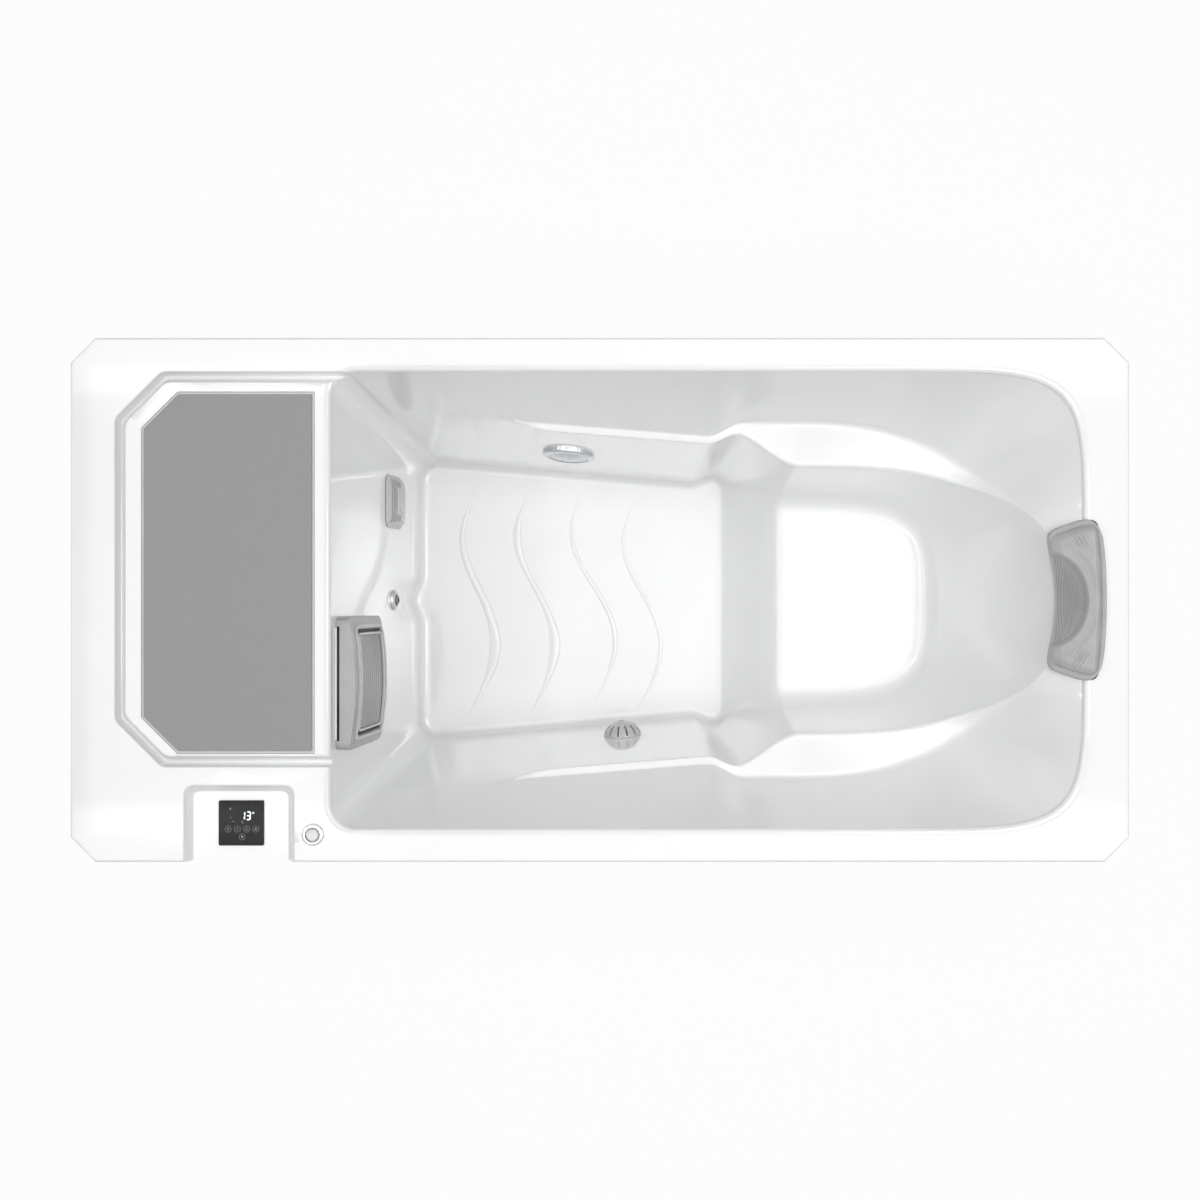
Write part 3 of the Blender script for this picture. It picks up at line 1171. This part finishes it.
# Plywood: the cradle under the seat and the packers that spread the rim's weight on the frame. The grain
# runs along the tub, and the edges show the plies as light and dark lines.
plywood = shader("plywood", (0.52, 0.37, 0.22), 0.62)
grain = noise(plywood, 5, 5.0, (1.2, 14, 60))
tint(plywood, grain, (0.40, 0.27, 0.15), (0.62, 0.46, 0.29), 0.30, 0.70)
polish(plywood, noise(plywood, 16, 3.0), 0.55, 0.75)
bump(plywood, grain, 0.25, 0.5)
dress(plywood, "seat_cradle", "deck_packers")

# Rigid foam: the insulation boards behind the panels and the bed under the foot well, pale yellow, with
# fine cells on the cut faces.
foam = shader("rigid_foam", (0.74, 0.70, 0.50), 0.9)
tint(foam, noise(foam, 30, 4.0), (0.66, 0.62, 0.43), (0.79, 0.75, 0.56))
polish(foam, noise(foam, 60, 2.0), 0.82, 0.96)
bump(foam, cells(foam, 380), 0.6, 0.6)
dress(foam, "insulation_boards", "well_bed")

# The equipment bay's floor is a matt grey plastic sheet on the lower rails. The compressor, the heat
# exchanger, the pump and the ozone unit stand on it.
bay_sheet = moulded("bay_sheet", (0.34, 0.34, 0.34), (0.40, 0.40, 0.40), 0.6, 300, 0.2)
dress(bay_sheet, "bay_floor")

# Behind the wall the fittings are pale moulded plastic: the skimmer's body, the threaded bodies with
# their nuts, and the pipes, which are solvent-welded.
pipe_white = moulded("pipe_white", (0.62, 0.62, 0.60), (0.70, 0.70, 0.68), 0.35, 160, 0.08)
dress(pipe_white, "skimmer_body", "suction_body", "nozzle_body", "dome_body", "wall_nuts", "pipework")
housing_grey = moulded("housing_grey", (0.24, 0.24, 0.245), (0.29, 0.29, 0.295), 0.4, 200, 0.1)
dress(housing_grey, "light_housing", "pillow_pins")
ball_grey = moulded("ball_grey", (0.15, 0.15, 0.155), (0.20, 0.20, 0.205), 0.25, 200, 0.03, 0.4)
dress(ball_grey, "nozzle_ball")
dark_plastic = moulded("dark_plastic", (0.030, 0.030, 0.032), (0.050, 0.050, 0.053), 0.45, 320, 0.08)
dress(dark_plastic, "control_body", "button_body")

# The filter cartridge is pleated white fleece between two round caps, and it lies across the skimmer's
# body. Its weave is a fine fibrous noise.
fleece = shader("filter_fleece", (0.76, 0.78, 0.83), 0.95)
fleece.node_tree.nodes["Principled BSDF"].inputs["Sheen Weight"].default_value = 0.3
tint(fleece, noise(fleece, 60, 4.0), (0.68, 0.70, 0.75), (0.80, 0.82, 0.86))
polish(fleece, noise(fleece, 90, 2.0), 0.88, 1.0)
bump(fleece, noise(fleece, 1400, 3.0, (1, 1, 0.4)), 0.35, 0.7)
dress(fleece, "filter_cartridge")

# The gasket is a flat ring of soft grey rubber. It lies on the step of the opening, and the lid's edge
# rests on it.
rubber = moulded("gasket_rubber", (0.16, 0.16, 0.16), (0.21, 0.21, 0.21), 0.8, 700, 0.08)
dress(rubber, "hatch_gasket")

# The chiller stands in the bay at the foot end. Its condenser is a block of fine aluminium fins on
# copper tube, and the fins show as close upright lines.
fins = shader("condenser_fins", (0.60, 0.60, 0.60), 0.38, 1.0)
fin_place = fins.node_tree.nodes.new("ShaderNodeTexCoord")
fin_lines = fins.node_tree.nodes.new("ShaderNodeTexWave")
fin_lines.bands_direction = "Y"
fin_lines.inputs["Scale"].default_value = 90
fins.node_tree.links.new(fin_place.outputs["Object"], fin_lines.inputs["Vector"])
tint(fins, fin_lines.outputs["Fac"], (0.30, 0.29, 0.28), (0.66, 0.65, 0.63), 0.2, 0.8)
polish(fins, noise(fins, 30, 3.0), 0.3, 0.46)
bump(fins, fin_lines.outputs["Fac"], 1.2, 0.8)
dress(fins, "condenser")

# The fan pulls air through it: a dark moulded shroud, a white rotor with five blades, and a grey motor
# on four arms.
rotor_white = moulded("rotor_white", (0.66, 0.66, 0.67), (0.74, 0.74, 0.75), 0.35, 240, 0.06)
finish(refined("fan_rotor", "fan_wheel", 0.5, 2), rotor_white, body="fan", node="fan_rotor")
shroud_black = moulded("shroud_black", (0.02, 0.02, 0.022), (0.04, 0.04, 0.043), 0.5, 300, 0.12)
dress(shroud_black, "fan_shroud")
motor_paint = shader("motor_paint", (0.22, 0.23, 0.24), 0.35, 0.4)
tint(motor_paint, noise(motor_paint, 12, 3.0), (0.18, 0.19, 0.20), (0.25, 0.26, 0.27))
polish(motor_paint, noise(motor_paint, 40, 2.0), 0.3, 0.44)
bump(motor_paint, noise(motor_paint, 500, 1.0), 0.08, 0.5)
dress(motor_paint, "fan_motor")

# The compressor is a welded steel can in gloss black paint, and the circulation pump a dark blue cast
# body with a ribbed motor. Both coats are slightly uneven.
can_black = shader("can_black", (0.014, 0.014, 0.015), 0.16)
can_black.node_tree.nodes["Principled BSDF"].inputs["Coat Weight"].default_value = 0.7
tint(can_black, noise(can_black, 18, 4.0), (0.010, 0.010, 0.011), (0.024, 0.024, 0.025))
polish(can_black, noise(can_black, 10, 3.0, (1, 1, 0.3)), 0.12, 0.26)
bump(can_black, noise(can_black, 90, 2.0), 0.25, 0.4)
dress(can_black, "compressor")
pump_blue = shader("pump_paint", (0.03, 0.035, 0.05), 0.38, 0.2)
tint(pump_blue, noise(pump_blue, 14, 3.0), (0.024, 0.028, 0.040), (0.042, 0.048, 0.064))
polish(pump_blue, noise(pump_blue, 50, 2.0), 0.32, 0.48)
bump(pump_blue, noise(pump_blue, 260, 2.0), 0.3, 0.5)
dress(pump_blue, "circulation_pump")

# The heat exchanger, the ozone unit and the control box are plain mouldings in whites and greys, each
# with its own grain.
exchanger_white = moulded("exchanger_white", (0.70, 0.70, 0.69), (0.78, 0.78, 0.77), 0.4, 120, 0.15)
dress(exchanger_white, "heat_exchanger")
ozone_grey = moulded("ozone_grey", (0.46, 0.47, 0.49), (0.53, 0.54, 0.56), 0.35, 350, 0.1)
dress(ozone_grey, "ozone_unit")
box_grey = moulded("box_grey", (0.56, 0.56, 0.54), (0.63, 0.63, 0.61), 0.42, 500, 0.12)
finish(refined("control_box", "wiring_box", 1.2, 3), box_grey, node="control_box")

# Outside, at the foot end: a dark grey vent grille, a recessed service box with the drain valve and its
# red lever, and a black cable gland.
vent_grey = moulded("vent_grey", (0.14, 0.145, 0.15), (0.19, 0.195, 0.20), 0.45, 500, 0.1)
finish(refined("vent_grille", "vent_louvres", 0.8, 2), vent_grey, node="vent_grille")
recess_grey = moulded("recess_grey", (0.07, 0.072, 0.075), (0.10, 0.102, 0.105), 0.5, 500, 0.1)
finish(refined("service_box", "service_recess", 0.8, 2), recess_grey, node="service_box")
nickel = metal("nickel", (0.50, 0.49, 0.46), (0.62, 0.61, 0.58), 0.24, (1, 1, 1), 200, 0.03)
finish(refined("drain_valve", "drain_cock", 0.4, 2), nickel, node="drain_valve")
lever_red = moulded("lever_red", (0.34, 0.022, 0.018), (0.44, 0.032, 0.026), 0.4, 90, 0.25, 0.2)
finish(refined("drain_handle", "drain_lever", 1.0, 3), lever_red, body="drain_handle", node="drain_handle")
gland_black = moulded("gland_black", (0.012, 0.012, 0.012), (0.022, 0.022, 0.022), 0.5, 500, 0.08)
finish(refined("cable_gland", "gland_nut", 0.4, 2), gland_black, node="cable_gland")
